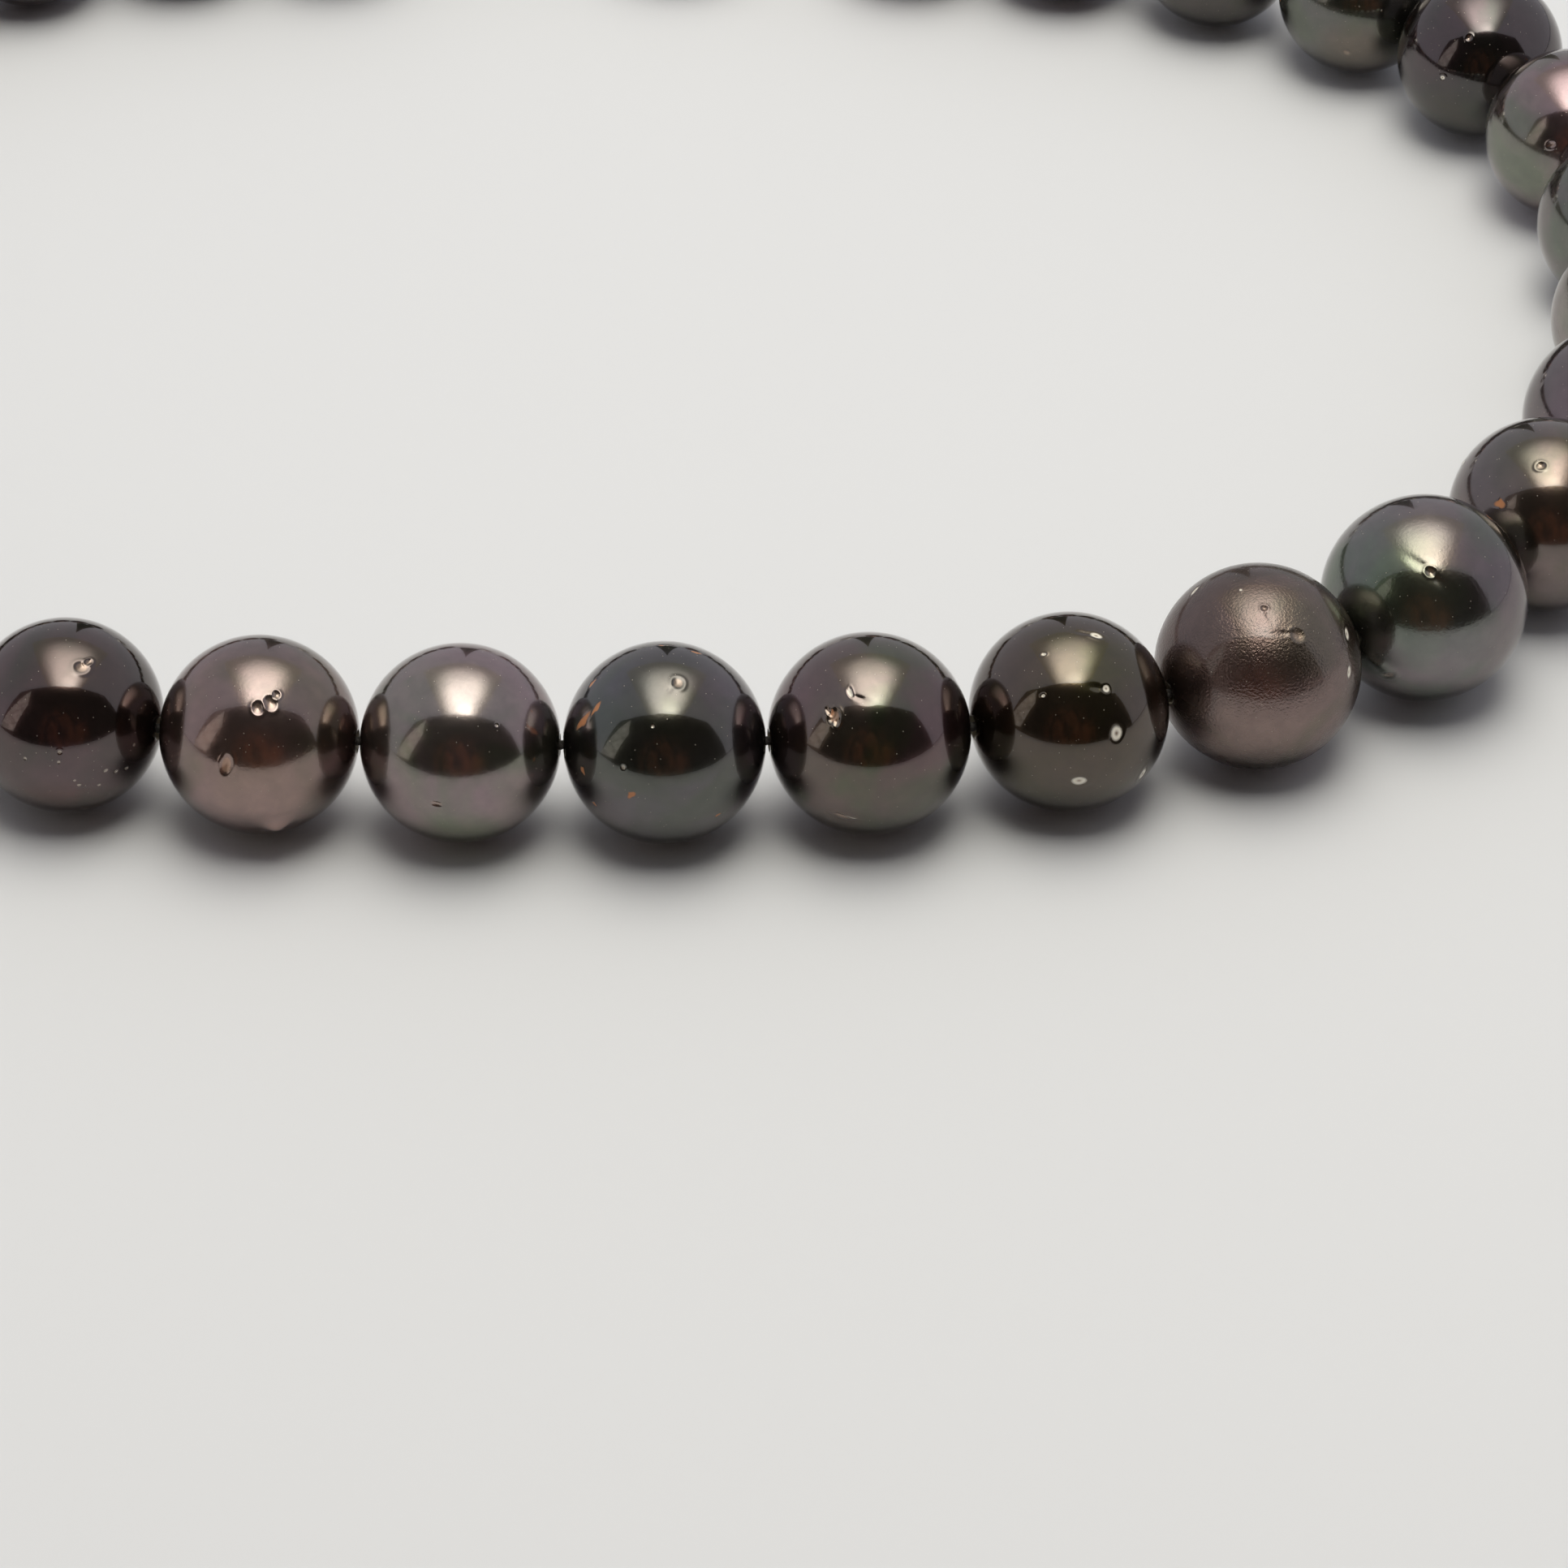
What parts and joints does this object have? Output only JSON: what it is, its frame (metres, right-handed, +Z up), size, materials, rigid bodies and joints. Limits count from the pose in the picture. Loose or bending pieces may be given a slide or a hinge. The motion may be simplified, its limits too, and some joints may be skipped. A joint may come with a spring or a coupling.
{
  "type": "pearl necklace",
  "caption": "Choker strand of drilled dark pearls on one silk cord, lying as an oval, with a ball clasp whose sprung tongue is just drawn out of its slot.",
  "frame": {"origin": "on the ground under the middle of the strand's outline", "axes": "+Z up through the ring, +X to the right of the wearer's front, -Y to the front of the strand, clasp at +Y"},
  "size_m": [0.1582, 0.1176, 0.0131],
  "materials": {
    "nacre_aubergine": "glossy dark nacre",
    "nacre_bronze": "glossy dark nacre",
    "nacre_silver": "glossy dark nacre",
    "nacre_slate": "glossy dark nacre",
    "nacre_peacock": "glossy dark nacre",
    "nacre_olive": "glossy dark nacre",
    "nacre_steel": "glossy dark nacre",
    "silk": "twisted silk, matt",
    "white_gold": "polished rhodium-plated white gold",
    "spring_gold": "satin white gold"
  },
  "bodies": {
    "pearl_01": {"pearl_01": "nacre_slate", "french_wire_tongue": "white_gold"},
    "pearl_02": {"pearl_02": "nacre_aubergine"},
    "pearl_03": {"pearl_03": "nacre_peacock"},
    "pearl_04": {"pearl_04": "nacre_bronze"},
    "pearl_05": {"pearl_05": "nacre_silver"},
    "pearl_06": {"pearl_06": "nacre_olive"},
    "pearl_07": {"pearl_07": "nacre_slate"},
    "pearl_08": {"pearl_08": "nacre_aubergine"},
    "pearl_09": {"pearl_09": "nacre_peacock"},
    "pearl_10": {"pearl_10": "nacre_bronze"},
    "pearl_11": {"pearl_11": "nacre_slate"},
    "pearl_12": {"pearl_12": "nacre_olive"},
    "pearl_13": {"pearl_13": "nacre_silver"},
    "pearl_14": {"pearl_14": "nacre_aubergine"},
    "pearl_15": {"pearl_15": "nacre_bronze"},
    "pearl_16": {"pearl_16": "nacre_silver", "silk_cord": "silk"},
    "pearl_17": {"pearl_17": "nacre_slate"},
    "pearl_18": {"pearl_18": "nacre_peacock"},
    "pearl_19": {"pearl_19": "nacre_olive"},
    "pearl_20": {"pearl_20": "nacre_bronze"},
    "pearl_21": {"pearl_21": "nacre_steel"},
    "pearl_22": {"pearl_22": "nacre_bronze"},
    "pearl_23": {"pearl_23": "nacre_aubergine"},
    "pearl_24": {"pearl_24": "nacre_silver"},
    "pearl_25": {"pearl_25": "nacre_steel"},
    "pearl_26": {"pearl_26": "nacre_silver"},
    "pearl_27": {"pearl_27": "nacre_aubergine"},
    "pearl_28": {"pearl_28": "nacre_slate"},
    "pearl_29": {"pearl_29": "nacre_olive"},
    "pearl_30": {"pearl_30": "nacre_peacock"},
    "pearl_31": {"pearl_31": "nacre_bronze", "french_wire_ball": "white_gold"},
    "clasp_ball": {"ball_ring": "white_gold", "ball_front_half": "white_gold", "ball_rear_half": "white_gold", "catch_plate": "spring_gold"},
    "clasp_tongue": {"tongue_ring": "white_gold", "tongue_blade": "spring_gold"},
    "clasp_leaf": {"tongue_leaf": "spring_gold"}
  },
  "joints": [
    {"name": "leaf_press", "type": "hinge", "parent": "clasp_tongue", "child": "clasp_leaf", "pos_m": [-0.00079, 0.05334, 0.0055], "axis": [0.0041, 1, 0], "range_deg": [-9, 0], "stiffness_Nm_per_rad": 0.02},
    {"name": "tongue_link", "type": "hinge", "parent": "pearl_01", "child": "clasp_tongue", "pos_m": [-0.01029, 0.05338, 0.0055], "axis": [0, 0, -1], "range_deg": [-5.22, 30]},
    {"name": "ball_link", "type": "hinge", "parent": "pearl_31", "child": "clasp_ball", "pos_m": [0.01475, 0.05327, 0.0055], "axis": [0, 0, 1], "range_deg": [-2.61, 30]},
    {"name": "bend_30_31", "type": "hinge", "parent": "pearl_30", "child": "pearl_31", "pos_m": [0.03002, 0.05152, 0.00585], "axis": [0, 0, -1], "range_deg": [-0.26, 17.92], "deforming": ["silk_cord"]},
    {"name": "bend_01_02", "type": "hinge", "parent": "pearl_02", "child": "pearl_01", "pos_m": [-0.0256, 0.05215, 0.00585], "axis": [0, 0, 1], "range_deg": [-0.26, 16.56], "deforming": ["silk_cord"]},
    {"name": "bend_29_30", "type": "hinge", "parent": "pearl_29", "child": "pearl_30", "pos_m": [0.04164, 0.04857, 0.00593], "axis": [0, 0, -1], "range_deg": [-0.26, 21.77], "deforming": ["silk_cord"]},
    {"name": "bend_02_03", "type": "hinge", "parent": "pearl_03", "child": "pearl_02", "pos_m": [-0.03737, 0.04987, 0.00588], "axis": [0, 0, 1], "range_deg": [-0.26, 20.32], "deforming": ["silk_cord"]},
    {"name": "bend_28_29", "type": "hinge", "parent": "pearl_28", "child": "pearl_29", "pos_m": [0.05267, 0.04316, 0.00605], "axis": [0, 0, -1], "range_deg": [-0.26, 24.58], "deforming": ["silk_cord"]},
    {"name": "bend_03_04", "type": "hinge", "parent": "pearl_04", "child": "pearl_03", "pos_m": [-0.04846, 0.04554, 0.00588], "axis": [0, 0, 1], "range_deg": [-0.26, 23.44], "deforming": ["silk_cord"]},
    {"name": "bend_27_28", "type": "hinge", "parent": "pearl_27", "child": "pearl_28", "pos_m": [0.06196, 0.03512, 0.006], "axis": [0, 0, -1], "range_deg": [-0.26, 25.46], "deforming": ["silk_cord"]},
    {"name": "bend_04_05", "type": "hinge", "parent": "pearl_05", "child": "pearl_04", "pos_m": [-0.05838, 0.03862, 0.0059], "axis": [0, 0, 1], "range_deg": [-0.26, 25.05], "deforming": ["silk_cord"]},
    {"name": "bend_26_27", "type": "hinge", "parent": "pearl_26", "child": "pearl_27", "pos_m": [0.06871, 0.02494, 0.006], "axis": [0, 0, -1], "range_deg": [-0.26, 24.87], "deforming": ["silk_cord"]},
    {"name": "bend_05_06", "type": "hinge", "parent": "pearl_06", "child": "pearl_05", "pos_m": [-0.06609, 0.02943, 0.0059], "axis": [0, 0, 1], "range_deg": [-0.26, 25.08], "deforming": ["silk_cord"]},
    {"name": "bend_25_26", "type": "hinge", "parent": "pearl_25", "child": "pearl_26", "pos_m": [0.07263, 0.01335, 0.00603], "axis": [0, 0, -1], "range_deg": [-0.26, 23.78], "deforming": ["silk_cord"]},
    {"name": "bend_06_07", "type": "hinge", "parent": "pearl_07", "child": "pearl_06", "pos_m": [-0.0712, 0.01836, 0.00595], "axis": [0, 0, 1], "range_deg": [-0.26, 24.12], "deforming": ["silk_cord"]},
    {"name": "bend_24_25", "type": "hinge", "parent": "pearl_24", "child": "pearl_25", "pos_m": [0.07369, 0.00106, 0.00607], "axis": [0, 0, -1], "range_deg": [-0.26, 23.04], "deforming": ["silk_cord"]},
    {"name": "bend_07_08", "type": "hinge", "parent": "pearl_08", "child": "pearl_07", "pos_m": [-0.07344, 0.00648, 0.00595], "axis": [0, 0, 1], "range_deg": [-0.26, 23.07], "deforming": ["silk_cord"]},
    {"name": "bend_23_24", "type": "hinge", "parent": "pearl_23", "child": "pearl_24", "pos_m": [0.07194, -0.0113, 0.00615], "axis": [0, 0, -1], "range_deg": [-0.26, 23.18], "deforming": ["silk_cord"]},
    {"name": "bend_08_09", "type": "hinge", "parent": "pearl_09", "child": "pearl_08", "pos_m": [-0.07293, -0.00573, 0.00593], "axis": [0, 0, 1], "range_deg": [-0.26, 22.63], "deforming": ["silk_cord"]},
    {"name": "bend_22_23", "type": "hinge", "parent": "pearl_22", "child": "pearl_23", "pos_m": [0.06737, -0.02308, 0.00622], "axis": [0, 0, -1], "range_deg": [-0.26, 23.91], "deforming": ["silk_cord"]},
    {"name": "bend_09_10", "type": "hinge", "parent": "pearl_10", "child": "pearl_09", "pos_m": [-0.06984, -0.01735, 0.00593], "axis": [0, 0, 1], "range_deg": [-0.26, 23.01], "deforming": ["silk_cord"]},
    {"name": "bend_21_22", "type": "hinge", "parent": "pearl_21", "child": "pearl_22", "pos_m": [0.06004, -0.03351, 0.00628], "axis": [0, 0, -1], "range_deg": [-0.26, 24.62], "deforming": ["silk_cord"]},
    {"name": "bend_10_11", "type": "hinge", "parent": "pearl_11", "child": "pearl_10", "pos_m": [-0.06409, -0.0282, 0.00597], "axis": [0, 0, 1], "range_deg": [-0.26, 23.64], "deforming": ["silk_cord"]},
    {"name": "bend_20_21", "type": "hinge", "parent": "pearl_20", "child": "pearl_21", "pos_m": [0.04992, -0.04205, 0.0064], "axis": [0, 0, -1], "range_deg": [-0.26, 23.89], "deforming": ["silk_cord"]},
    {"name": "bend_11_12", "type": "hinge", "parent": "pearl_12", "child": "pearl_11", "pos_m": [-0.05603, -0.03726, 0.00593], "axis": [0, 0, 1], "range_deg": [-0.26, 23.46], "deforming": ["silk_cord"]},
    {"name": "bend_19_20", "type": "hinge", "parent": "pearl_19", "child": "pearl_20", "pos_m": [0.03826, -0.04775, 0.00615], "axis": [0, 0, -1], "range_deg": [-0.26, 21.11], "deforming": ["silk_cord"]},
    {"name": "bend_12_13", "type": "hinge", "parent": "pearl_13", "child": "pearl_12", "pos_m": [-0.04616, -0.04414, 0.00593], "axis": [0, 0, 1], "range_deg": [-0.26, 22.23], "deforming": ["silk_cord"]},
    {"name": "bend_18_19", "type": "hinge", "parent": "pearl_18", "child": "pearl_19", "pos_m": [0.02624, -0.05095, 0.00615], "axis": [0, 0, -1], "range_deg": [-0.26, 17.81], "deforming": ["silk_cord"]},
    {"name": "bend_13_14", "type": "hinge", "parent": "pearl_14", "child": "pearl_13", "pos_m": [-0.03493, -0.04879, 0.00597], "axis": [0, 0, 1], "range_deg": [-0.26, 19.81], "deforming": ["silk_cord"]},
    {"name": "bend_17_18", "type": "hinge", "parent": "pearl_17", "child": "pearl_18", "pos_m": [0.01381, -0.05252, 0.00618], "axis": [0, 0, -1], "range_deg": [-0.26, 15.06], "deforming": ["silk_cord"]},
    {"name": "bend_14_15", "type": "hinge", "parent": "pearl_15", "child": "pearl_14", "pos_m": [-0.02314, -0.05144, 0.00597], "axis": [0, 0, 1], "range_deg": [-0.26, 16.88], "deforming": ["silk_cord"]},
    {"name": "bend_16_17", "type": "hinge", "parent": "pearl_16", "child": "pearl_17", "pos_m": [0.00136, -0.053, 0.0061], "axis": [0, 0, -1], "range_deg": [-0.26, 13.79], "deforming": ["silk_cord"]},
    {"name": "bend_15_16", "type": "hinge", "parent": "pearl_16", "child": "pearl_15", "pos_m": [-0.01094, -0.05269, 0.00607], "axis": [0, 0, 1], "range_deg": [-0.26, 14.55], "deforming": ["silk_cord"]}
  ]
}
